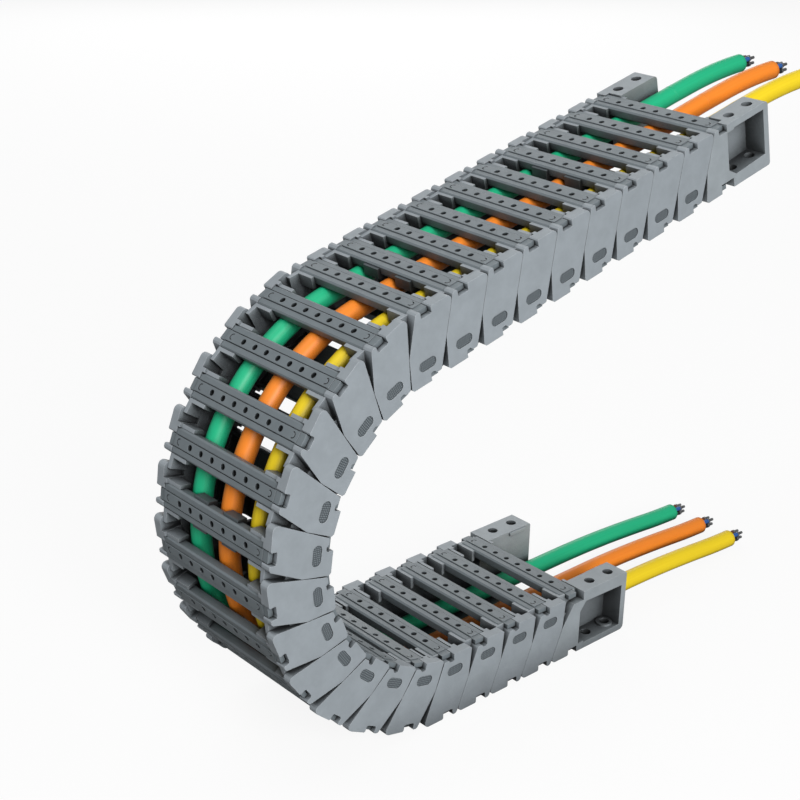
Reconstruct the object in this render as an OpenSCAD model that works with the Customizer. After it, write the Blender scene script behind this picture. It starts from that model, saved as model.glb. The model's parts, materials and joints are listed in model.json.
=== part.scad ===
// Cable drag chain: 24 hinged links between two end brackets, carrying three cables.
// The fixed bracket stands on z = 0 and the chain leaves it towards -X, turns up
// and over, and comes back above it on a gentle slope.
//
// Every link is drawn in its own frame: x runs along the link from its start pivot
// to its end pivot, z points to the outside of the bend and y runs from the outer
// face of the near side plate to the outer face of the far one.

/* [Chain] */
// Distance between two pivots
pitch = 20; // [19.6:0.1:21]
// Angle that one joint bends, in degrees
bend = 13.85; // [8:0.05:13.85]
// Links on the straight lower run
lower_links = 4; // [3:1:5]
// Joints that are bent at rest
bent_joints = 12; // [10:1:12]
// Overall width over the side plates
chain_w = 76; // [70:1:100]

/* [Side plates] */
// Thickness of the outer skin of a plate
skin_t = 2; // [1.8:0.1:2.4]
// Thickness of the lobe that carries the pin
lobe_t = 2.1; // [1.8:0.1:2.4]
// Thickness of the tongue with the bore
tongue_t = 2.2; // [1.8:0.1:2.6]
// Height of the plate outside the pivot line
plate_out = 16.8; // [16.6:0.1:17.4]
// Height of the plate inside the pivot line
plate_in = 14.5; // [14.4:0.1:15.2]
// Lean of the edge on which neighbouring plates meet, in degrees
rake = 22; // [20:0.5:23]

/* [Hinges] */
// Radius of the hinge pin
pin_r = 3.2; // [2.6:0.1:3.4]
// Radius of the lobe round the pin
lobe_r = 7; // [6.8:0.1:7.4]
// Radius of the tongue round the bore
tongue_r = 8.2; // [8:0.1:8.4]
// Radius on which the stop lug travels
stop_track_r = 5.7; // [5.6:0.1:5.8]
// Radius of the stop lug
stop_r = 0.8; // [0.6:0.1:0.9]

/* [Crossbars] */
// Length of a crossbar along the chain
bar_len = 11.2; // [10.6:0.1:11.4]
// Thickness of a crossbar
bar_t = 4.7; // [4:0.1:4.8]
// Outer surface of the outer crossbar above the pivot line
outer_bar_v = 16.6; // [16.4:0.1:16.6]
// Outer surface of the inner crossbar below the pivot line
inner_bar_v = 14.9; // [14.8:0.1:15.2]
// Width of the snap tab at each end of a crossbar
tab_len = 5; // [4:0.1:5.2]
// Diameter of the blind holes along the crown
bar_hole_d = 2.6; // [2:0.1:2.8]
// Number of blind holes in a crossbar
bar_holes = 7; // [5:1:7]

/* [Brackets] */
// Distance from the hinge to the far end of a bracket
bracket_len = 43.5; // [42.5:0.5:50]
// Depth of a bracket across the chain
bracket_depth = 12.2; // [12:0.1:12.6]
// Distance between the two screw holes of a bracket
screw_pitch = 12.8; // [12:0.1:14]
// Diameter of the screw holes
screw_d = 5; // [4:0.1:5.5]
// Distance from the hinge to the first screw hole
screw_start = 23.3; // [23:0.1:25]
// Wall at the closed end and at the back of a bracket
bracket_wall = 3.2; // [2.6:0.1:3.6]

/* [Cables and separators] */
// Diameter of the cables
cable_d = 8.7; // [7:0.1:8.7]
// Distance of the cable centres outside the pivot line
cable_v = 7.3; // [7:0.1:7.4]
// Outer face of a side plate to the middle of the cable beside it
cable_side = 18.6; // [18.5:0.1:19.5]
// Straight length of cable beyond the moving bracket
moving_tail = 62; // [40:1:70]
// Thickness of a separator
separator_t = 2; // [1.6:0.1:2.6]

/* [Hidden] */
$fn = 48;
link_count = 24;
separator_links = [11, 17, 22];
cable_names = ["cable_yellow", "cable_orange", "cable_green"];
function two_digits(i) = str(i < 10 ? "0" : "", i);
function link_name(i) = str("link_", two_digits(i));

// Clearances
face_gap = 0.3;       // between the edges of two plates that meet
lap_gap = 0.1;        // between two layers that slide on each other
round_gap = 0.15;     // round a lobe or a tongue
pin_gap = 0.05;       // round a hinge pin
seat_gap = 0.1;       // round a crossbar in its seat

// Layers of a side plate, measured from its outer face
lobe_face = skin_t + lap_gap;
lap_face = skin_t + lobe_t + lap_gap;
tongue_face = lap_face + lap_gap;
plate_t = tongue_face + tongue_t;

// Crossbars
bar_x = 12.1;                                // middle of a crossbar along its link
bar_start = bar_x - bar_len / 2;
bar_end = bar_x + bar_len / 2;
bar_inset = plate_t - 1.3;                   // outer face of the plate to the bar's shoulder
tab_inset = 2.2;
arm_t = 1.6;
arm_depth = 14.7;
arm_start = bar_start - seat_gap - arm_t;
arm_end = bar_end + seat_gap + arm_t;
inner_clear = tongue_r + 0.4;                // band that stays clear of the tongue
tab_t = 2.2;
tab_low = 2.1;                               // inner surface of a bar to its tab
outer_floor = outer_bar_v - bar_t - seat_gap;
inner_floor = inner_bar_v - bar_t - seat_gap;

// Plate outline
rake_k = tan(rake);
lower_rake_k = tan(rake - bend - 2.2);
corner = 2.2;
notch_floor = 13.6;
notch_half = tab_len / 2 + 0.3;
bump_v = inner_bar_v - bar_t + tab_low - seat_gap;
inner_sweep = 3.7;

// Route of the chain
base_x = -(screw_start + screw_pitch / 2);
base_z = plate_out;
function link_angle(i) = 180 - bend * min(max(i - lower_links, 0), bent_joints);
function pivot(i) = i == 1 ? [base_x, base_z]
    : pivot(i - 1) + pitch * [cos(link_angle(i - 1)), sin(link_angle(i - 1))];

// ---- helpers -------------------------------------------------------------

// Extrudes an outline of the link's side view between two depths y0 and y1
module slab(y0, y1) {
    translate([0, y1, 0]) rotate([90, 0, 0]) linear_extrude(y1 - y0) children();
}

// A round pin or hole across the chain, at (x, z), between two depths
module rod(x, z, r, y0, y1) {
    translate([x, y1, z]) rotate([90, 0, 0]) cylinder(h = y1 - y0, r = r);
}

// A block given by two opposite corners
module block(low, high) {
    translate(low) cube(high - low);
}

// Points of an arc of radius r about (x, y) from angle a to angle b
function arc(x, y, r, a, b, steps = 4) =
    [for (k = [0:steps]) let (t = a + (b - a) * k / steps) [x + r * cos(t), y + r * sin(t)]];

// Puts a part drawn in the frame of link i in its place
module place_link(i) {
    p = i == 0 ? pivot(1) + [pitch, 0] : pivot(i);
    translate([p[0], -chain_w / 2, p[1]]) rotate([0, -link_angle(i), 0]) children();
}

// The far copy of something drawn on the near side
module far_side() {
    translate([0, chain_w, 0]) mirror([0, 1, 0]) children();
}

module both_sides() {
    children();
    far_side() children();
}

// ---- outlines ------------------------------------------------------------

// x of the raked edge at height v, on the plate that starts or ends there
function start_edge(v) = v > 0
    ? rake_k * v + face_gap / 2 / cos(rake)
    : lower_rake_k * v + face_gap / 2;
function end_edge(v) = pitch + rake_k * v - face_gap / 2 / cos(rake);

// Start of a plate, from its inner foot round the pivot to its outer shoulder
function start_points(out_v, in_v) = [
    [start_edge(-in_v + 1) + 1, -in_v],
    [start_edge(-in_v + 1), -in_v + 1],
    [start_edge(0), 0],
    [start_edge(out_v - 0.6), out_v - 0.6],
    [start_edge(out_v - 0.6) + 0.9, out_v]
];

// Outer edge of a plate: the notch for the crossbar tab and the rounded corner
function outer_points() =
    let (left = bar_x - notch_half, right = bar_x + notch_half,
         corner_x = end_edge(plate_out - corner) - corner)
    concat([
        [left - 0.4, plate_out], [left, plate_out - 0.4],
        [left, notch_floor + 0.6], [left + 0.6, notch_floor],
        [right - 0.6, notch_floor], [right, notch_floor + 0.6],
        [right, plate_out - 0.5], [right + 0.5, plate_out]
    ], arc(corner_x, plate_out - corner, corner, 90, -rake));

// Whole face of a side plate
module plate_outline() {
    polygon(concat(
        start_points(plate_out, plate_in),
        outer_points(),
        arc(end_edge(-bump_v + 1) - 1, -bump_v + 1, 1, -rake, -90),
        [
            [bar_x + 0.3, -bump_v], [bar_x - 0.7, -bump_v + 1.2],
            [bar_x - 2.1, -bump_v + 1.2], [bar_x - notch_half, -bump_v + 0.8],
            [bar_x - notch_half, -plate_in]
        ]
    ));
}

// ---- side plates ---------------------------------------------------------

// Lobe, pin and stop lug at the end pivot (x, 0); they carry the next tongue
module hinge_pin(x) {
    rod(x, 0, lobe_r, lobe_face, lap_face);
    rod(x, 0, pin_r, lobe_face, plate_t);
    rod(x - stop_track_r, 0, stop_r, lobe_face, plate_t - lap_gap);
}

// Room for the next tongue behind the end of a plate
module tongue_room(x, y_end) {
    rod(x, 0, tongue_r + round_gap, lap_face, y_end);
}

// Room for the lobe of the plate before, inside the start of a plate
module lobe_room() {
    rod(0, 0, lobe_r + round_gap, skin_t, tongue_face);
}

// Tongue round the start pivot, and the web that shows when the joint is bent
module tongue() {
    rod(0, 0, tongue_r, tongue_face, plate_t);
    slab(tongue_face, plate_t) polygon([
        [0, 0],
        [0, outer_bar_v - 0.9],
        [start_edge(outer_bar_v - 0.9) + 0.4, outer_bar_v - 0.9],
        [start_edge(0) + 0.4, 0]
    ]);
}

// Bore of the tongue and the curved slot that the stop lug runs in
module tongue_cuts() {
    slot_r = stop_r + round_gap;
    margin = asin(slot_r / stop_track_r);
    rod(0, 0, pin_r + pin_gap, lap_face, plate_t + 1);
    intersection() {
        difference() {
            rod(0, 0, stop_track_r + slot_r, lap_face, plate_t + 1);
            rod(0, 0, stop_track_r - slot_r, lap_face - 1, plate_t + 2);
        }
        slab(lap_face - 1, plate_t + 2) polygon([
            [0, 0],
            2 * lobe_r * [-cos(margin), sin(margin)],
            2 * lobe_r * [-cos(bend + margin), -sin(bend + margin)]
        ]);
    }
}

// The two arms beside a crossbar end and the shelf that it rests on.
// side is 1 for the outer crossbar and -1 for the inner one.
module bar_arms(side, floor_v, top_v) {
    low = min(side * (floor_v - 1.4), side * top_v);
    high = max(side * (floor_v - 1.4), side * top_v);
    for (x = [arm_start, arm_end - arm_t])
        block([x, lap_face + lap_gap, low], [x + arm_t, arm_depth, high]);
    shelf = [side * (floor_v - 1.4), side * floor_v];
    block([arm_start, plate_t - 1, min(shelf)], [arm_end, plate_t + 2.4, max(shelf)]);
}

// Seat for the shoulders and tab of a crossbar
module bar_seat(side, floor_v) {
    v = side * floor_v;
    tab_v = side * (floor_v + tab_low);
    slab(-1, bar_inset) polygon([
        [bar_x - notch_half, tab_v], [bar_x + notch_half, tab_v],
        [bar_x + notch_half, tab_v + side * 9], [bar_x - notch_half, tab_v + side * 9]
    ]);
    slab(bar_inset - seat_gap, arm_depth + 1) polygon([
        [bar_start - seat_gap, v], [bar_end + seat_gap, v],
        [bar_end + seat_gap, v + side * 20], [bar_start - seat_gap, v + side * 20]
    ]);
}

// Blank oval panel sunk into the outer face
module face_panel() {
    panel_x = 8.6;
    panel_v = -6.4;
    panel_r = 2.3;
    sink = 0.6;
    for (dx = [-2.2, 2.2]) rod(panel_x + dx, panel_v, panel_r, -1, sink);
    block([panel_x - 2.2, -1, panel_v - panel_r], [panel_x + 2.2, sink, panel_v + panel_r]);
}

// Strip behind the next plate that carries the end of the inner crossbar
module inner_band() {
    slab(tongue_face, plate_t) polygon([
        [bar_x - notch_half - 1, -inner_clear], [arm_end, -inner_clear],
        [arm_end, -plate_in], [bar_x - notch_half - 1, -plate_in]
    ]);
}

// Arms for both crossbars
module all_arms() {
    bar_arms(1, outer_floor, outer_bar_v - 0.9);
    bar_arms(-1, inner_floor, inner_bar_v - 0.6);
}

// Seats for both crossbars
module all_seats() {
    bar_seat(1, outer_floor);
    bar_seat(-1, inner_floor);
}

// Cuts at the start of a plate: room for the lobe before it, the bore with its
// slot, and the inside corner that the band of the plate before sweeps through
module start_cuts() {
    lobe_room();
    tongue_cuts();
    slab(lap_face, arm_depth) polygon([
        [-pitch, -tongue_r], [inner_sweep, -tongue_r], [inner_sweep, -pitch], [-pitch, -pitch]
    ]);
}

// Cuts at the end of a plate: room for the next tongue and for its web
module end_cuts() {
    tongue_room(pitch, arm_depth);
    slab(lap_face, arm_depth) polygon([
        [pitch - face_gap, 0], [2 * pitch, 0], [2 * pitch, pitch], [pitch - face_gap, pitch]
    ]);
}

// The near side plate of a link
module side_plate() {
    difference() {
        union() {
            slab(0, plate_t) plate_outline();
            tongue();
            inner_band();
            all_arms();
        }
        start_cuts();
        end_cuts();
        all_seats();
        face_panel();
    }
    hinge_pin(pitch);
}

module side_plates() {
    color("#a2a9ae") both_sides() side_plate();
}

// ---- crossbars -----------------------------------------------------------

// Cross-section of a crossbar: a crown strip between two flanges
module bar_profile() {
    crown = 2.2;
    step_v = 0.35;
    half = bar_len / 2;
    polygon([
        [-half, 0.6], [-half + 0.6, 0], [half - 0.6, 0], [half, 0.6],
        [half, bar_t - step_v - 0.7], [half - 0.7, bar_t - step_v],
        [crown + 0.5, bar_t - step_v], [crown + 0.5, bar_t - 2 * step_v],
        [crown + 0.15, bar_t - 2 * step_v], [crown, bar_t],
        [-crown, bar_t], [-crown - 0.15, bar_t - 2 * step_v],
        [-crown - 0.5, bar_t - 2 * step_v], [-crown - 0.5, bar_t - step_v],
        [-half + 0.7, bar_t - step_v], [-half, bar_t - step_v - 0.7]
    ]);
}

// A crossbar with its inner surface on z = 0 and its middle on x = 0
module crossbar() {
    hole_depth = 1.8;
    hole_step = (chain_w - 2 * tab_inset) / (bar_holes + 2.7);
    crown_end = hole_step * (bar_holes + 1) / 2;
    mid = chain_w / 2;
    difference() {
        union() {
            slab(bar_inset, chain_w - bar_inset) bar_profile();
            for (side = [0, 1])
                translate([0, side * chain_w, 0]) mirror([0, side, 0])
                    block([-tab_len / 2, tab_inset, tab_low],
                          [tab_len / 2, bar_inset + 1, tab_low + tab_t]);
        }
        for (k = [0:bar_holes - 1])
            translate([0, mid + (k - (bar_holes - 1) / 2) * hole_step, bar_t - hole_depth])
                cylinder(h = hole_depth + 1, d = bar_hole_d);
        // curved mark at each end of the row of holes
        for (side = [-1, 1])
            translate([0, mid + side * crown_end, bar_t - 0.4]) difference() {
                cylinder(h = 1, r = 1.5);
                translate([0, 0, -1]) cylinder(h = 3, r = 1);
                translate([-2, side > 0 ? -4 : 0.3, -1]) cube([4, 3.7, 3]);
            }
    }
}

module inner_bar() {
    translate([bar_x, 0, bar_t - inner_bar_v]) mirror([0, 0, 1]) crossbar();
}

module outer_bar() {
    translate([bar_x, 0, outer_bar_v - bar_t]) crossbar();
}

module crossbars() {
    color("#7b858a") {
        outer_bar();
        inner_bar();
    }
}

// ---- separators ----------------------------------------------------------

// A thin wall between two cables, clipped over both edges of the outer crossbar
module separator(y) {
    head_w = 9;
    claw = 1.3;
    low = -(inner_floor + seat_gap) + seat_gap;
    high = outer_floor;
    grip = outer_floor + 3.2;
    translate([0, y, 0]) {
        slab(-separator_t / 2, separator_t / 2) polygon([
            [bar_start, low], [bar_end, low], [bar_end - 2.4, low + 5],
            [bar_end - 2.4, high - 5], [bar_end, high - 1], [bar_start, high - 1],
            [bar_start + 2.4, high - 5], [bar_start + 2.4, low + 5]
        ]);
        block([bar_start - claw, -head_w / 2, high - 1.4], [bar_end + claw, head_w / 2, high]);
        for (x = [bar_start - claw, bar_end + seat_gap])
            block([x, -head_w / 2, high - 0.5], [x + claw - seat_gap, head_w / 2, grip]);
        block([bar_start, -head_w / 3, low], [bar_end, head_w / 3, low + 1]);
    }
}

module separators() {
    color("#5f676b")
        for (side = [-1, 1]) separator(chain_w / 2 + side * cable_pitch / 2);
}

// ---- brackets ------------------------------------------------------------

// Box of a bracket with its recess, drawn from the hinge (x = 0) outwards.
// bar_s is the middle of its crossbars and head_s the nearest point of the box.
module bracket_box(bar_s, head_s) {
    seat_end = bar_s + bar_len / 2 + seat_gap;
    notch_end = bar_s + notch_half;
    floor_v = plate_out - bracket_wall;
    shelf_v = outer_floor - 1.5;
    closed = bracket_len - bracket_wall;
    slope = 5.6;
    difference() {
        slab(0, bracket_depth) polygon(concat(
            [[head_s, notch_floor], [head_s, -inner_floor], [seat_end, -inner_floor],
             [seat_end, -plate_in], [bracket_len - 0.8, -plate_in],
             [bracket_len, -plate_in + 0.8]],
            arc(bracket_len - corner, plate_out - corner, corner, 0, 90),
            [[notch_end, plate_out], [notch_end, notch_floor]]
        ));
        slab(-1, bracket_depth - bracket_wall / 2) polygon([
            [head_s + 1.8, -2.8], [seat_end + 1.8, -plate_in + slope], [closed, -plate_in + slope + 0.8],
            [closed, floor_v], [seat_end + 1.8, floor_v], [seat_end + 1.8, shelf_v],
            [head_s + 1.8, shelf_v]
        ]);
        // shallow part of the recess in front of the crossbar seat
        slab(-1, bar_inset - 1.4) polygon([
            [notch_end - 0.4, shelf_v - 1], [seat_end + 2, shelf_v - 1],
            [seat_end + 2, notch_floor - 0.8], [notch_end - 0.4, notch_floor - 0.8]
        ]);
    }
}

// Screw holes, the pad round the last one and the lugs inside the recess
module bracket_details(head_s) {
    hole_y = 5.8;
    holes = [screw_start, screw_start + screw_pitch];
    floor_v = plate_out - bracket_wall;
    web_y = bracket_depth - bracket_wall / 2;
    difference() {
        union() {
            children();
            translate([holes[1], hole_y, floor_v - 1]) cylinder(h = 1.5, r = screw_d / 2 + 1.5);
            block([head_s + 1, web_y - 2.4, -1.4], [head_s + 6, web_y + 0.5, 0.6]);
            block([head_s + 1, web_y - 2.4, 4.4], [head_s + 4.6, web_y + 0.5, 6.4]);
            block([bracket_len - 15, web_y, -plate_in + 0.6], [bracket_len - 4, bracket_depth + 0.9, -plate_in + 2]);
        }
        for (x = holes)
            translate([x, hole_y, -2 * plate_in]) cylinder(h = 4 * plate_out, d = screw_d);
    }
}

// Cheek of the fixed bracket beside its hinge, in the frame of link 0
module fixed_cheek() {
    polygon(concat(
        [[bar_x - notch_half - 1, notch_floor]],
        [for (p = outer_points()) if (p[0] > bar_x - notch_half) p],
        [[end_edge(0), 0], [pitch - 5.8, -8.3], [pitch - 7.2, -inner_floor],
         [bar_x - notch_half - 1, -inner_floor]]
    ));
}

// Near half of the fixed bracket, in the frame of link 0
module fixed_bracket_half() {
    head_s = tongue_r + round_gap + 0.2;
    difference() {
        union() {
            translate([pitch, 0, 0]) mirror([1, 0, 0])
                bracket_details(head_s) bracket_box(pitch - bar_x, head_s);
            slab(0, plate_t) fixed_cheek();
            inner_band();
            all_arms();
        }
        end_cuts();
        all_seats();
    }
    hinge_pin(pitch);
}

// Face of the moving bracket beside its hinge, in its own frame
module moving_cheek() {
    polygon(concat(
        start_points(plate_out, plate_in),
        [for (p = outer_points()) if (p[0] < bar_x + notch_half) p],
        [[bar_x + notch_half, notch_floor], [bar_x + notch_half, -inner_floor],
         [bar_x - notch_half, -inner_floor], [bar_x - notch_half, -plate_in]]
    ));
}

// Near half of the moving bracket, in its own frame
module moving_bracket_half() {
    head_s = bar_x - notch_half + 0.6;
    difference() {
        union() {
            bracket_details(head_s) bracket_box(bar_x, head_s);
            slab(0, plate_t) moving_cheek();
            tongue();
            all_arms();
        }
        start_cuts();
        all_seats();
    }
}

// ---- cables --------------------------------------------------------------

// Middle of a cable, as [x, z]: over the floor, through the chain and out again
tail_floor = cable_d / 2 + 0.05;
fixed_tail = [[128, tail_floor], [106, tail_floor + 1], [88, tail_floor + 2.5], [70, tail_floor + 3.8],
              [52, tail_floor + 4.7], [34, tail_floor + 5.1]];
exit_tail = [[bracket_len + 2, 0], [bracket_len + 0.4 * moving_tail, -0.6],
             [bracket_len + 0.7 * moving_tail, -2.4], [bracket_len + moving_tail, -5.6]];

// Point at s along and v outside the pivot line of link i
function on_link(i, s, v) = pivot(i)
    + s * [cos(link_angle(i)), sin(link_angle(i))]
    + v * [-sin(link_angle(i)), cos(link_angle(i))];

// Where the cable crosses joint i, on the line that halves its bend
function at_joint(i) =
    let (half = (link_angle(i - 1) - link_angle(i)) / 2)
    on_link(i, cable_v * tan(half) * -1, cable_v);

cable_pitch = chain_w / 2 - cable_side;
first_bent = lower_links + 1;
last_bent = lower_links + bent_joints;
cable_route = concat(
    fixed_tail,
    [on_link(1, -bracket_len + 2, cable_v)],
    [for (i = [first_bent:last_bent]) at_joint(i)],
    [for (s = exit_tail) on_link(link_count + 1, s[0], cable_v + s[1])]
);

function unit(v) = v / norm(v);

// Tangent of a route at point k
function route_dir(route, k) =
    let (n = len(route) - 1,
         before = k > 0 ? unit(route[k] - route[k - 1]) : [0, 0],
         after = k < n ? unit(route[k + 1] - route[k]) : [0, 0])
    unit(before + after);

// A round tube along a route in the XZ plane, as one polyhedron
module tube(route, d, sides = 8) {
    n = len(route);
    rings = [for (k = [0:n - 1]) let (t = route_dir(route, k))
        for (j = [0:sides - 1]) let (a = 360 * (j + 0.5) / sides, r = d / 2)
            [route[k][0] - r * sin(a) * t[1], r * cos(a), route[k][1] + r * sin(a) * t[0]]];
    walls = [for (k = [0:n - 2]) for (j = [0:sides - 1]) let (m = (j + 1) % sides)
        [k * sides + j, k * sides + m, (k + 1) * sides + m, (k + 1) * sides + j]];
    first = [for (j = [0:sides - 1]) sides - 1 - j];
    last = [for (j = [0:sides - 1]) (n - 1) * sides + j];
    polyhedron(rings, concat([first], walls, [last]), convexity = 6);
}

module cable(index, tint) {
    color(tint) translate([0, (index - 1) * cable_pitch, 0]) tube(cable_route, cable_d);
}

// ---- assembly ------------------------------------------------------------

module fixed_bracket_right() {
    color("#9aa1a6") place_link(0) fixed_bracket_half();
}

module fixed_bracket_left() {
    color("#9aa1a6") place_link(0) far_side() fixed_bracket_half();
}

module moving_bracket_right() {
    color("#9aa1a6") place_link(link_count + 1) moving_bracket_half();
}

module moving_bracket_left() {
    color("#9aa1a6") place_link(link_count + 1) far_side() moving_bracket_half();
}

fixed_bracket_left();
fixed_bracket_right();
place_link(0) crossbars();  // fixed_bracket_crossbars
for (i = [1:link_count]) {
    place_link(i) side_plates();
    place_link(i) crossbars();
}
for (i = separator_links)
    place_link(i) separators();
moving_bracket_left();
moving_bracket_right();
place_link(link_count + 1) crossbars();  // moving_bracket_crossbars
cable(0, "#f2d31f");  // cable_yellow
cable(1, "#f58a28");  // cable_orange
cable(2, "#1db082");  // cable_green
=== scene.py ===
# %% [markdown]
# # A cable drag chain in a studio
# The solids of the chain come from its CAD model: side plates, crossbars, separators
# and brackets. Here they get their moulded finish, and the three cables, laid along
# the links as they are bent here, get a smooth skin. We start by loading the frame that both share.

# %% Load the model
import json
import math
import bpy
import numpy as np
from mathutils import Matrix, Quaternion, Vector


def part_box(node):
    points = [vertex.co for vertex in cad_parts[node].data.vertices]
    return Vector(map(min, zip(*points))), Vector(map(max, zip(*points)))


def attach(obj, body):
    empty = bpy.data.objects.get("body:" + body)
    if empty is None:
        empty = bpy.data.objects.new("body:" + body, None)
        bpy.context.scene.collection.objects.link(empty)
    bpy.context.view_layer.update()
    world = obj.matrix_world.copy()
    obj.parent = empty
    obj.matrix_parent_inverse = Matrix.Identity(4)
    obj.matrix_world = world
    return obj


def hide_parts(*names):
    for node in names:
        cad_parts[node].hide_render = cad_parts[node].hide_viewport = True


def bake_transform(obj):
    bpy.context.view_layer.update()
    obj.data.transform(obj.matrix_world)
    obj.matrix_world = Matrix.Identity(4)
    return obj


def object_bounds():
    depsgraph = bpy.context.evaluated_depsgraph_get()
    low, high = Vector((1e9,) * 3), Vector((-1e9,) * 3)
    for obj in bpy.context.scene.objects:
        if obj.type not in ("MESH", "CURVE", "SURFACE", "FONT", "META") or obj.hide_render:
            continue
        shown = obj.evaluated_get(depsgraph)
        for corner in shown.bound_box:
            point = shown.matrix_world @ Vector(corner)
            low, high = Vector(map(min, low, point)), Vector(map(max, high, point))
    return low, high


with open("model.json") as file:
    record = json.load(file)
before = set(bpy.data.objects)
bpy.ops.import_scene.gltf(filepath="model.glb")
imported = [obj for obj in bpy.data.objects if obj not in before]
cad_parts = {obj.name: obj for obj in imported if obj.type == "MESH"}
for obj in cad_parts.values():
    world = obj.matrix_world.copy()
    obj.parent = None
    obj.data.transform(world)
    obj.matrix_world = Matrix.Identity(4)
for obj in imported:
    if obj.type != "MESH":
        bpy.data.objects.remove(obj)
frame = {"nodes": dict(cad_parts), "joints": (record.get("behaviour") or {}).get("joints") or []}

cad_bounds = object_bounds()
MM = 0.001
joints = frame["joints"]

# %% [markdown]
# ## Camera
# A view from the side, slightly above, with a long lens, shows the whole loop and both
# runs. The place is measured from the first hinge, so that it follows the model.

# %% Camera
hinges = {j["name"]: Vector(j["pos_m"]) for j in joints}
first_hinge = hinges["hinge_01"]
chain_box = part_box("link_01_side_plates")
near_face = chain_box[0][1]
far_face = chain_box[1][1]

cam_data = bpy.data.cameras.new("camera")
camera = bpy.data.objects.new("camera", cam_data)
bpy.context.scene.collection.objects.link(camera)
bpy.context.scene.camera = camera
cam_data.sensor_width = 36.0
cam_data.lens = 73.6
cam_data.shift_x = 0.0289
cam_data.shift_y = 0.0376
cam_data.clip_start = 0.01
cam_data.dof.use_dof = False

from_hinge = Vector((-493.5, -430.8, 398.9)) * MM    # from the first hinge, on the near face
turn, drop, roll = math.radians(41.26), math.radians(24.72), math.radians(0.65)
look = Vector((math.cos(drop) * math.sin(turn), math.cos(drop) * math.cos(turn), -math.sin(drop)))
camera.location = Vector((first_hinge.x, near_face, first_hinge.z)) + from_hinge
camera.rotation_mode = "QUATERNION"
camera.rotation_quaternion = look.to_track_quat("-Z", "Y") @ Quaternion((0, 0, 1), roll)
print("camera at", tuple(round(v, 3) for v in camera.location))

# %% [markdown]
# ## Helpers for materials
# Colours are written as sRGB hex values and turned to linear light by one function.
# Another adds a node with its settings and links, so each material reads as a recipe.

# %% Helpers for materials
def linear(hex_colour):
    """sRGB hex to linear RGBA: below 0.04045 a straight line, above it a power of 2.4."""
    raw = [int(hex_colour[k:k + 2], 16) / 255 for k in (1, 3, 5)]
    rgb = [c / 12.92 if c <= 0.04045 else ((c + 0.055) / 1.055) ** 2.4 for c in raw]
    return (*rgb, 1.0)


def add(tree, kind, links=None, **settings):
    """Adds one node: settings whose name is an input go to its socket, others to the node."""
    node = tree.nodes.new(kind)
    for key, value in settings.items():
        if hasattr(node, key):
            setattr(node, key, value)
        else:
            node.inputs[key.replace("_", " ")].default_value = value
    for socket, source in (links or {}).items():
        tree.links.new(source, node.inputs[socket])
    return node


def new_material(name):
    """An empty node material with its output, ready for a shader."""
    material = bpy.data.materials.new(name)
    material.use_nodes = True
    material.node_tree.nodes.clear()
    return material, material.node_tree


def finish_material(tree, shader):
    """Links a shader to a new material output."""
    add(tree, "ShaderNodeOutputMaterial", {"Surface": shader.outputs[0]})


# %% [markdown]
# ## Moulded polyamide
# The links are injection moulded from glass-filled polyamide. The mould is spark
# eroded, which leaves a fine even grain, and the fibres near the surface cloud the
# colour a little. Edges come out slightly round, and a painted highlight makes them
# paler, so a Bevel node finds them: where the rounded normal leaves the flat one, there
# is an edge. Hollows get painted shade: what walls close in on most sides turns darker.

# %% Moulded polyamide
GRAIN = 0.35 * MM          # size of the eroded grain, drawn about twice as coarse as real
CLOUD = 7 * MM             # size of the clouds that the glass fibres make
EDGE_RADIUS = 0.3 * MM     # how round the moulded edges are
SHADE_REACH = 40 * MM      # how far away a wall still shades a hollow


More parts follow.
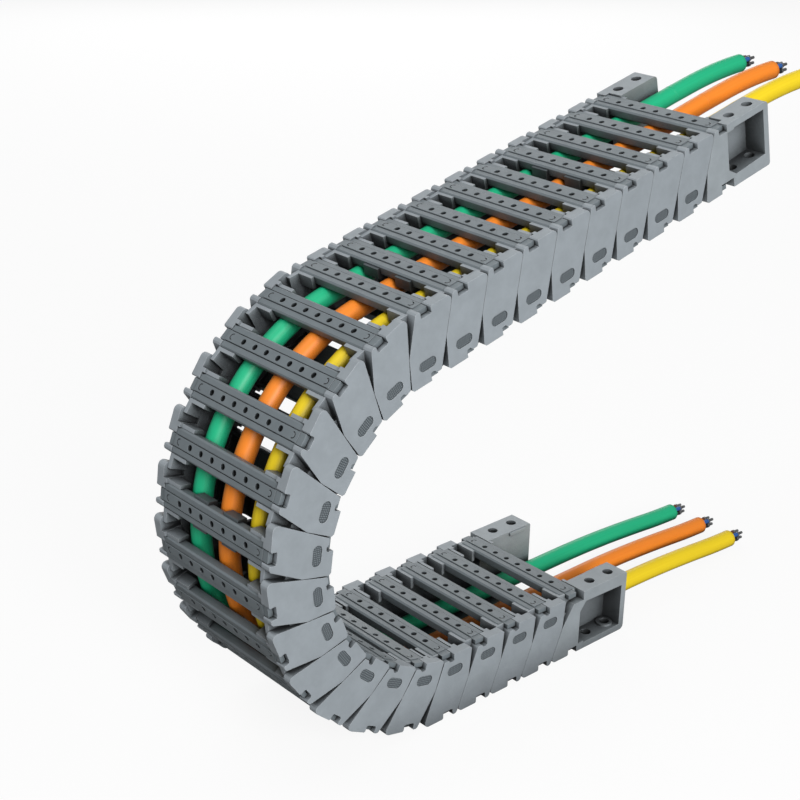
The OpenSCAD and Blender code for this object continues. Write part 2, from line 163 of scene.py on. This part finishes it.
def moulded_polyamide(name, colour, highlight_colour, roughness=0.52, grain_depth=0.05):
    """Matt moulded plastic: clouded colour, painted highlight on rounded edges, painted shade in hollows,
    fine grain in the bump.
    """
    material, tree = new_material(name)
    place = add(tree, "ShaderNodeTexCoord")
    clouds = add(tree, "ShaderNodeTexNoise", {"Vector": place.outputs["Object"]},
                 Scale=1 / CLOUD, Detail=3.0, Roughness=0.6)
    grain = add(tree, "ShaderNodeTexNoise", {"Vector": place.outputs["Object"]},
                Scale=1 / GRAIN, Detail=2.0, Roughness=0.5)
    shade = add(tree, "ShaderNodeMapRange", {"Value": clouds.outputs["Fac"]},
                From_Min=0.3, From_Max=0.7, To_Min=0.93, To_Max=1.05)
    base = add(tree, "ShaderNodeHueSaturation", {"Value": shade.outputs[0]}, Color=linear(colour))
    round_edge = add(tree, "ShaderNodeBevel", samples=6, Radius=EDGE_RADIUS)
    flat = add(tree, "ShaderNodeNewGeometry")
    match = add(tree, "ShaderNodeVectorMath",
                {0: round_edge.outputs[0], 1: flat.outputs["Normal"]}, operation="DOT_PRODUCT")
    edge = add(tree, "ShaderNodeMapRange", {"Value": match.outputs["Value"]},
               From_Min=0.995, From_Max=0.86, To_Min=0.0, To_Max=0.55)
    # painted highlight: the paler colour is mixed in along the rounded edges
    edge_highlight = add(tree, "ShaderNodeMix", {"Factor": edge.outputs[0], 6: base.outputs[0]},
               data_type="RGBA")
    edge_highlight.inputs[7].default_value = linear(highlight_colour)
    # painted shade: surfaces that walls close in on are darkened, down to near black
    open_view = add(tree, "ShaderNodeAmbientOcclusion", samples=8, Distance=SHADE_REACH)
    shade_level = add(tree, "ShaderNodeMapRange", {"Value": open_view.outputs["AO"]},
                      From_Min=0.26, From_Max=0.74, To_Min=0.04, To_Max=1.0)
    shaded = add(tree, "ShaderNodeHueSaturation",
                 {"Color": edge_highlight.outputs[2], "Value": shade_level.outputs[0]})
    gloss = add(tree, "ShaderNodeMapRange", {"Value": grain.outputs["Fac"]},
                From_Min=0.3, From_Max=0.7, To_Min=roughness - 0.05, To_Max=roughness + 0.06)
    relief = add(tree, "ShaderNodeBump",
                 {"Height": grain.outputs["Fac"], "Normal": round_edge.outputs[0]},
                 Strength=0.35, Distance=grain_depth * MM)
    shader = add(tree, "ShaderNodeBsdfPrincipled",
                 {"Base Color": shaded.outputs[0], "Roughness": gloss.outputs[0],
                  "Normal": relief.outputs[0]}, IOR=1.53)
    finish_material(tree, shader)
    return material


finishes = {
    "link": moulded_polyamide("moulded_polyamide_link_grey", "#9DA5AB", "#C8CED2"),
    # the bars' darker grey is painted shade: their faces get less light than the plates' near faces
    "bar": moulded_polyamide("moulded_polyamide_bar_grey_painted_shade", "#7A8388", "#9CA4A9", roughness=0.48),
    "bracket": moulded_polyamide("moulded_polyamide_bracket_grey", "#A0A8AD", "#CDD3D6"),
    "separator": moulded_polyamide("moulded_polyamide_separator_grey", "#5A6266", "#7C858A"),
}


def finish_for(node_name):
    """Which moulding a CAD node is: bars get a darker grey, painted shade, and separators a darker one still.
    """
    for word in ("crossbars", "separators", "bracket"):
        if word in node_name:
            return {"crossbars": "bar", "separators": "separator", "bracket": "bracket"}[word]
    return "link"


for node_name, node_object in frame["nodes"].items():
    if node_name.startswith("cable"):
        continue
    moulding = finishes[finish_for(node_name)]
    for material_slot in node_object.material_slots:
        material_slot.material = moulding
print("moulded finishes on", sum(not n.startswith("cable") for n in frame["nodes"]), "nodes")

# %% [markdown]
# ## Cable jackets
# Control cables for drag chains have an extruded polyurethane or PVC jacket: smooth and
# satin, with faint lines along the length from the die. The pattern follows the
# surface, so it reads a UV map in metres that each piece of cable carries. Deep
# between the bars little light gets in, so there the jacket turns darker too.

# %% Cable jackets
def extruded_jacket(name, colour, deep_colour):
    """Satin extruded plastic: faint streaks along the cable, two close tones, soft coat."""
    material, tree = new_material(name)
    place = add(tree, "ShaderNodeUVMap", uv_map="along")
    streak_map = add(tree, "ShaderNodeMapping", {"Vector": place.outputs[0]})
    streak_map.inputs["Scale"].default_value = (1 / (60 * MM), 1 / (0.9 * MM), 1.0)
    streaks = add(tree, "ShaderNodeTexNoise", {"Vector": streak_map.outputs[0]},
                  Scale=1.0, Detail=2.0, Roughness=0.5)
    tone = add(tree, "ShaderNodeMapRange", {"Value": streaks.outputs["Fac"]},
               From_Min=0.35, From_Max=0.7, To_Min=0.0, To_Max=0.45)
    colours = add(tree, "ShaderNodeMix", {"Factor": tone.outputs[0]}, data_type="RGBA")
    colours.inputs[6].default_value = linear(colour)
    colours.inputs[7].default_value = linear(deep_colour)
    open_view = add(tree, "ShaderNodeAmbientOcclusion", samples=8, Distance=SHADE_REACH)
    shade_level = add(tree, "ShaderNodeMapRange", {"Value": open_view.outputs["AO"]},
                      From_Min=0.05, From_Max=0.5, To_Min=0.25, To_Max=1.0)
    shaded = add(tree, "ShaderNodeHueSaturation",
                 {"Color": colours.outputs[2], "Value": shade_level.outputs[0]})
    relief = add(tree, "ShaderNodeBump", {"Height": streaks.outputs["Fac"]},
                 Strength=0.15, Distance=0.03 * MM)
    shader = add(tree, "ShaderNodeBsdfPrincipled",
                 {"Base Color": shaded.outputs[0], "Normal": relief.outputs[0]},
                 Roughness=0.5, IOR=1.5, Coat_Weight=0.05, Coat_Roughness=0.3)
    finish_material(tree, shader)
    return material


jackets = {
    "yellow": extruded_jacket("extruded_jacket_yellow", "#FFE01F", "#F6CF16"),
    "orange": extruded_jacket("extruded_jacket_orange", "#FF922C", "#F8841F"),
    "green": extruded_jacket("extruded_jacket_green", "#1EC08A", "#18B27C"),
}

# %% [markdown]
# ## Tubes along a path
# A cable is a circle carried along its middle line. The path lies in the plane of the
# chain, so the circle's two axes are the path's normal in that plane and the Y axis.
# The rims are sharp, so that the caps don't bend the shading of the walls beside them.

# %% Tubes along a path
CABLE_SIDES = 24


def path_normals(path):
    """Unit normals of a path in the XZ plane: its tangent, by central differences, turned a quarter."""
    tangent = np.gradient(path, axis=0)
    tangent /= np.linalg.norm(tangent, axis=1)[:, None]
    return np.stack([-tangent[:, 2], 0 * tangent[:, 0], tangent[:, 0]], axis=1)


def tube_mesh(name, path, radii, tangents=(None, None), sides=CABLE_SIDES, start=0.0):
    """Point (k, j) = path_k + r_k * (cos a_j * Y + sin a_j * normal_k), closed by a fan at each end."""
    path = np.asarray(path, float)
    radii = np.broadcast_to(radii, len(path))
    normal = path_normals(path)
    for end, direction in zip((0, -1), tangents):
        if direction is not None:
            normal[end] = (-direction[2], 0, direction[0])
    angle = 2 * np.pi * np.arange(sides) / sides
    ring = (np.cos(angle)[None, :, None] * np.array([0.0, 1.0, 0.0])
            + np.sin(angle)[None, :, None] * normal[:, None, :])
    points = (path[:, None, :] + radii[:, None, None] * ring).reshape(-1, 3)
    rows, columns = np.meshgrid(np.arange(len(path) - 1), np.arange(sides), indexing="ij")
    a = (rows * sides + columns).ravel()
    b = (rows * sides + (columns + 1) % sides).ravel()
    walls = np.stack([a, b, b + sides, a + sides], axis=1)
    points = np.vstack([points, path[0], path[-1]])
    first, last = len(points) - 2, len(points) - 1
    j = np.arange(sides)
    base = (len(path) - 1) * sides
    caps = ([(first, int((k + 1) % sides), int(k)) for k in j]
            + [(last, int(base + k), int(base + (k + 1) % sides)) for k in j])
    mesh = bpy.data.meshes.new(name)
    mesh.from_pydata(points.tolist(), [], walls.tolist() + caps)
    edges = np.empty(2 * len(mesh.edges), int)
    mesh.edges.foreach_get("vertices", edges)
    edges = edges.reshape(-1, 2)
    rims = (edges < sides).all(axis=1) | ((edges >= base) & (edges < first)).all(axis=1)
    mesh.attributes.new("sharp_edge", "BOOLEAN", "EDGE").data.foreach_set("value", rims)
    length = np.concatenate([[0], np.cumsum(np.linalg.norm(np.diff(path, axis=0), axis=1))])
    around = float(radii.max()) * angle
    uv = mesh.uv_layers.new(name="along")
    vertex = np.empty(len(mesh.loops), int)
    mesh.loops.foreach_get("vertex_index", vertex)
    ring_points = vertex < len(path) * sides
    along = start + np.where(ring_points, length[np.minimum(vertex // sides, len(path) - 1)], 0)
    turn_uv = np.where(ring_points, around[vertex % sides], 0)
    uv.data.foreach_set("uv", np.stack([along, turn_uv], axis=1).ravel())
    mesh.polygons.foreach_set("use_smooth", [True] * len(walls) + [False] * len(caps))
    mesh.update()
    return mesh


def new_piece(name, mesh, material):
    """A mesh object at the origin with one material."""
    piece = bpy.data.objects.new(name, mesh)
    bpy.context.scene.collection.objects.link(piece)
    mesh.materials.append(material)
    return piece


# %% [markdown]
# ## Cables through the links
# Each joint has its own stretch of cable, from the middle of one link to the middle of
# the next, so each stretch bends across one hinge only and its ends lie square in
# their links. At a bent hinge the stretch is an arc that touches both links'
# directions; at a straight one it is a straight line.

# %% Cables through the links
cable_radius = 4.35 * MM
cable_offset = 7.3 * MM        # middle of the cable to the line through the hinges
pitch = (hinges["hinge_02"] - hinges["hinge_01"]).length
body_order = ["base"] + [j["child"] for j in sorted(joints, key=lambda j: j["name"])]
hinge_points = [hinges[f"hinge_{k:02d}"] for k in range(1, len(joints) + 1)]
end_slope = (hinge_points[-1] - hinge_points[-2]).normalized()
link_starts = [first_hinge + Vector((pitch, 0, 0))] + hinge_points
link_dirs = [Vector((-1, 0, 0))] + [
    (hinge_points[k + 1] - hinge_points[k]).normalized() for k in range(len(hinge_points) - 1)
] + [end_slope]


def outward(direction):
    """The direction a quarter turn from the link's own, towards the outside of the bend."""
    return Vector((-direction.z, 0, direction.x))


def link_point(k, along, out):
    """A point of link k: along it from its start hinge, and out from the hinge line."""
    d = link_dirs[k]
    return link_starts[k] + d * along + outward(d) * out


def joint_path(k, steps=12):
    """Arc from the middle of link k-1 to that of link k: the spoke turns about their common centre."""
    start = link_point(k - 1, pitch / 2, cable_offset)
    end = link_point(k, pitch / 2, cable_offset)
    angle = link_dirs[k - 1].angle(link_dirs[k])
    t = np.linspace(0, 1, steps)
    if angle < 1e-4:
        return np.array(start) + t[:, None] * np.array(end - start)
    radius = (end - start).length / 2 / math.sin(angle / 2)
    centre = np.array(start - outward(link_dirs[k - 1]) * radius)
    spoke = np.array(start) - centre
    side = np.array(link_dirs[k - 1]) * radius
    return (centre + np.cos(t * angle)[:, None] * spoke + np.sin(t * angle)[:, None] * side)


cable_y = {}
for colour in jackets:
    low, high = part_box(f"cable_{colour}")
    cable_y[colour] = (low[1] + high[1]) / 2

for colour, y in cable_y.items():
    for k in range(1, len(link_starts)):
        path = joint_path(k)
        path[:, 1] = y
        mesh = tube_mesh(f"cable_{colour}_{k:02d}", path, cable_radius,
                         tangents=(link_dirs[k - 1], link_dirs[k]), start=k * pitch)
        stretch = new_piece(f"cable_{colour}_{k:02d}", mesh, jackets[colour])
        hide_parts(f"cable_{colour}")
        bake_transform(stretch)
print("cable stretches:", len(cable_y) * (len(link_starts) - 1))

# %% [markdown]
# ## Panels on the plates
# Each side plate has an oval panel that the mould leaves rough for a stamp. It is left
# blank here: a thin dark inlay with a close grid of dots, 0.9 mm apart.

# %% Panels on the plates
PANEL_ALONG, PANEL_OUT = 8.6 * MM, -6.4 * MM     # middle of the panel, in its link
PANEL_STRAIGHT, PANEL_RADIUS = 2.2 * MM, 2.3 * MM
PANEL_FLOOR = 0.6 * MM                            # how far the CAD panel is sunk
INLAY_FRONT, INLAY_BACK = 0.15 * MM, 0.02 * MM    # the inlay's two faces, above that floor
INLAY_GAP = 0.05 * MM                             # around the inlay
DOT_PITCH = 0.9 * MM


def dotted_panel(name, colour, dot_colour):
    """Dark moulded plastic with a square grid of dots: cells of a Voronoi pattern without jitter."""
    material, tree = new_material(name)
    place = add(tree, "ShaderNodeUVMap", uv_map="along")
    dots = add(tree, "ShaderNodeTexVoronoi", {"Vector": place.outputs[0]},
               voronoi_dimensions="2D", Scale=1 / DOT_PITCH, Randomness=0.0)
    level = add(tree, "ShaderNodeMapRange", {"Value": dots.outputs["Distance"]},
                From_Min=0.2, From_Max=0.4, To_Min=1.0, To_Max=0.0)
    colours = add(tree, "ShaderNodeMix", {"Factor": level.outputs[0]}, data_type="RGBA")
    colours.inputs[6].default_value = linear(colour)
    colours.inputs[7].default_value = linear(dot_colour)
    relief = add(tree, "ShaderNodeBump", {"Height": level.outputs[0]}, Strength=0.6, Distance=0.1 * MM)
    shader = add(tree, "ShaderNodeBsdfPrincipled",
                 {"Base Color": colours.outputs[2], "Normal": relief.outputs[0]}, Roughness=0.55, IOR=1.53)
    finish_material(tree, shader)
    return material


panel_finish = dotted_panel("moulded_polyamide_dotted_panel", "#4E565B", "#868E93")


def panel_mesh(name, k, side, steps=12):
    """Oval slab: two half circles joined by straight lines, a front ring and a back ring, each with a fan."""
    turn = np.linspace(-np.pi / 2, np.pi / 2, steps)
    turn = np.concatenate([turn, turn + np.pi])
    edge = PANEL_RADIUS - INLAY_GAP
    shift = np.where(np.arange(2 * steps) < steps, PANEL_STRAIGHT, -PANEL_STRAIGHT)
    along, out = shift + edge * np.cos(turn), edge * np.sin(turn)
    centre = np.array(link_point(k, PANEL_ALONG, PANEL_OUT))
    d, n = np.array(link_dirs[k]), np.array(outward(link_dirs[k]))
    outline = centre + along[:, None] * d + out[:, None] * n
    face = near_face if side < 0 else far_face
    front, back = outline.copy(), outline.copy()
    front[:, 1] = face - side * (PANEL_FLOOR - INLAY_FRONT)
    back[:, 1] = face - side * (PANEL_FLOOR - INLAY_BACK)
    middles = np.vstack([front.mean(0), back.mean(0)])
    count = 2 * steps
    j = np.arange(count)
    following = (j + 1) % count
    walls = [(int(a), int(b), int(b + count), int(a + count)) for a, b in zip(j, following)]
    fans = ([(2 * count, int(b), int(a)) for a, b in zip(j, following)]
            + [(2 * count + 1, int(a + count), int(b + count)) for a, b in zip(j, following)])
    faces = walls + fans
    if side > 0:
        faces = [tuple(reversed(f)) for f in faces]
    mesh = bpy.data.meshes.new(name)
    mesh.from_pydata(np.vstack([front, back, middles]).tolist(), [], faces)
    flat = np.concatenate([np.tile(np.stack([along, out], 1), (2, 1)), [[0, 0], [0, 0]]])
    vertex = np.empty(len(mesh.loops), int)
    mesh.loops.foreach_get("vertex_index", vertex)
    mesh.uv_layers.new(name="along").data.foreach_set("uv", flat[vertex].ravel())
    mesh.update()
    return mesh


for k in range(1, len(link_starts) - 1):
    for side, side_name in ((-1, "right"), (1, "left")):
        panel_name = f"panel_{k:02d}_{side_name}"
        panel = new_piece(panel_name, panel_mesh(panel_name, k, side), panel_finish)
        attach(panel, body_order[k])
print("blank panels:", 2 * (len(link_starts) - 2))

# %% [markdown]
# ## Cable ends
# Past the brackets the cables run on for a hand's width: at the fixed end they come
# down slowly to the bed, and at the moving end their own stiffness carries them. Each
# ends stripped, with four insulated cores in crimped ferrules. From the crossbar of the
# bracket on the cable is free; each end's piece starts at the middle of the bracket.

# %% Cable ends
bracket_end = 43.5 * MM
floor_line = cable_radius + 0.05 * MM
fixed_tail = np.array([[34, 5.1], [52, 4.7], [70, 3.8], [88, 2.5], [106, 1], [128, 0]]) * MM
moving_tail = np.array([[2, 0], [24.8, -0.6], [43.4, -2.4], [62, -5.6]]) * MM
CATMULL_STEPS = 10
strip = 9 * MM                                   # length of the bare cores
near_cut = 0.5 * MM                              # points closer to a cut than this are left out
rim_back, rim_in = 0.3 * MM, 0.35 * MM           # the cut jacket's small bevel
core_radius, core_circle = 1.15 * MM, 1.75 * MM  # a core, and the circle that the cores lie on
core_spread = 0.35 * MM                          # how far the cores splay out at their tips
ferrule_length = 4.5 * MM
collar_radius, pin_radius, tip_radius = 1.3 * MM, 0.8 * MM, 0.75 * MM


def smooth_path(points, steps=CATMULL_STEPS):
    """Catmull-Rom curve: each span is a cubic whose end slopes are half the chord of its neighbours."""
    p = np.vstack([2 * points[0] - points[1], points, 2 * points[-1] - points[-2]])
    t = np.linspace(0, 1, steps, endpoint=False)[:, None]
    spans = [0.5 * (2 * p[k] + (p[k + 1] - p[k - 1]) * t
                    + (2 * p[k - 1] - 5 * p[k] + 4 * p[k + 1] - p[k + 2]) * t ** 2
                    + (3 * p[k] - p[k - 1] - 3 * p[k + 1] + p[k + 2]) * t ** 3)
             for k in range(1, len(p) - 2)]
    return np.vstack(spans + [points[-1:]])


def cut_at(path, length):
    """Splits a path at a length. Both parts get the cut's own point, and points close to it are left out."""
    steps = np.linalg.norm(np.diff(path, axis=0), axis=1)
    run = np.concatenate([[0], np.cumsum(steps)])
    k = int((run < length).sum())
    cut = path[k - 1] + (length - run[k - 1]) / steps[k - 1] * (path[k] - path[k - 1])
    return (np.vstack([path[run < length - near_cut], cut]),
            np.vstack([cut, path[run > length + near_cut]]))


def path_length(path):
    """Sum of the lengths of a path's steps."""
    return float(np.linalg.norm(np.diff(path, axis=0), axis=1).sum())


fixed_line = np.array([[first_hinge.x + pitch / 2, 0, first_hinge.z - cable_offset],
                       [first_hinge.x + bracket_end, 0, first_hinge.z - cable_offset]]
                      + [[x, 0, floor_line + z] for x, z in fixed_tail])
moving_line = np.array([link_point(len(link_starts) - 1, s, cable_offset + v)
                        for s, v in [(pitch / 2, 0), (bracket_end, 0)]]
                       + [link_point(len(link_starts) - 1, bracket_end + s, cable_offset + v)
                          for s, v in moving_tail])

core_colours = ["#6B3F22", "#2D5FA8", "#26282A", "#7FA82E"]    # brown, blue, black, green
core_finishes = [extruded_jacket(f"core_insulation_{k}", c, c) for k, c in enumerate(core_colours)]
ferrule_finish, ferrule_tree = new_material("tinned_copper_ferrule")
finish_material(ferrule_tree, add(ferrule_tree, "ShaderNodeBsdfPrincipled", Metallic=1.0,
                                  Roughness=0.32, Base_Color=linear("#C9CCCE")))


def cable_end(name, colour, line, y, body):
    """Jacket from the middle of the bracket up to the strip, then four cores with ferrules."""
    path = smooth_path(line)
    path[:, 1] = y
    jacket_path, cores_path = cut_at(path, path_length(path) - strip)
    direction = (cores_path[1] - cores_path[0]) / np.linalg.norm(cores_path[1] - cores_path[0])
    end = jacket_path[-1]
    step_in = np.vstack([jacket_path[:-1], end - rim_back * direction, end])
    radii = np.full(len(step_in), cable_radius)
    radii[-1] = cable_radius - rim_in
    jacket = new_piece(name, tube_mesh(name, step_in, radii), jackets[colour])
    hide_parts(f"cable_{colour}")
    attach(jacket, body)
    lift = np.array([-direction[2], 0, direction[0]])
    across = np.array([0.0, 1.0, 0.0])
    for k, insulation in enumerate(core_finishes):
        a = math.pi / 4 + k * math.pi / 2
        out = math.cos(a) * across + math.sin(a) * lift
        reach = np.linspace(-0.8 * MM, strip - ferrule_length, 6)
        spread = core_circle + core_spread * (np.clip(reach, 0, None) / strip) ** 2
        middle = end + reach[:, None] * direction + spread[:, None] * out
        core = new_piece(f"{name}_core_{k}",
                         tube_mesh(f"{name}_core_{k}", middle, core_radius, sides=12), insulation)
        tip = middle[-1] + np.array([[0], [1.2], [1.3], [4.4]]) * MM * direction
        tip_radii = np.array([collar_radius, collar_radius, pin_radius, tip_radius])
        ferrule = new_piece(f"{name}_ferrule_{k}",
                            tube_mesh(f"{name}_ferrule_{k}", tip, tip_radii, sides=12), ferrule_finish)
        for piece in (core, ferrule):
            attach(piece, body)
    print(name, "free length", round(path_length(jacket_path), 4))


for colour, y in cable_y.items():
    cable_end(f"cable_{colour}_fixed_end", colour, fixed_line, y, "base")
    cable_end(f"cable_{colour}_moving_end", colour, moving_line, y, "moving_bracket")

# %% [markdown]
# ## Floor and light
# A pale floor and soft light from a wide lamp in front and above show the moulded
# shapes. The floor looks white to the camera and still keeps the chain's shadow.

# %% Floor and light
floor_mesh = bpy.data.meshes.new("floor")
half = 6.0                     # metres from the middle to an edge
floor_mesh.from_pydata([(-half, -half, 0), (half, -half, 0), (half, half, 0), (-half, half, 0)],
                       [], [(0, 1, 2, 3)])
floor_finish, floor_tree = new_material("studio_paper")
paper = add(floor_tree, "ShaderNodeBsdfDiffuse", Color=linear("#F6F6F6"))
glow = add(floor_tree, "ShaderNodeEmission", Color=(1, 1, 1, 1), Strength=1.0)
rays = add(floor_tree, "ShaderNodeLightPath")
share = add(floor_tree, "ShaderNodeMath", {0: rays.outputs["Is Camera Ray"]},
            operation="MULTIPLY")
share.inputs[1].default_value = 0.9
seen_paper = add(floor_tree, "ShaderNodeMixShader",
                 {0: share.outputs[0], 1: paper.outputs[0], 2: glow.outputs[0]})
dim_paper = add(floor_tree, "ShaderNodeBsdfDiffuse", Color=linear("#8C8C8C"))
paper_mix = add(floor_tree, "ShaderNodeMixShader",
                {0: rays.outputs["Is Camera Ray"], 1: dim_paper.outputs[0], 2: seen_paper.outputs[0]})
finish_material(floor_tree, paper_mix)
floor = new_piece("floor", floor_mesh, floor_finish)

world = bpy.data.worlds.new("studio")
bpy.context.scene.world = world
world.use_nodes = True
sky = world.node_tree
sky.nodes.clear()
sky_rays = add(sky, "ShaderNodeLightPath")
sky_level = add(sky, "ShaderNodeMapRange", {"Value": sky_rays.outputs["Is Camera Ray"]},
                To_Min=0.22, To_Max=1.0)
sky_light = add(sky, "ShaderNodeBackground", {"Strength": sky_level.outputs[0]}, Color=(1, 1, 1, 1))
add(sky, "ShaderNodeOutputWorld", {"Surface": sky_light.outputs[0]})

middle = Vector((sum(c[0] for c in cad_bounds) / 2, 0, sum(c[2] for c in cad_bounds) / 2))


def soft_lamp(name, offset, size, power):
    """A square lamp at an offset from the chain's middle, facing it."""
    data = bpy.data.lights.new(name, "AREA")
    data.shape, data.size, data.energy = "SQUARE", size, power
    lamp = bpy.data.objects.new(name, data)
    bpy.context.scene.collection.objects.link(lamp)
    lamp.location = middle + Vector(offset)
    lamp.rotation_euler = (-Vector(offset)).to_track_quat("-Z", "Y").to_euler()
    return lamp


soft_lamp("front_lamp", (-0.6, -1.35, 0.75), 0.8, 24)
soft_lamp("top_lamp", (-0.5, 0.2, 1.6), 0.8, 5)
soft_lamp("back_lamp", (0.9, 1.2, 0.5), 1.0, 7)
bpy.context.scene.view_settings.view_transform = "Standard"
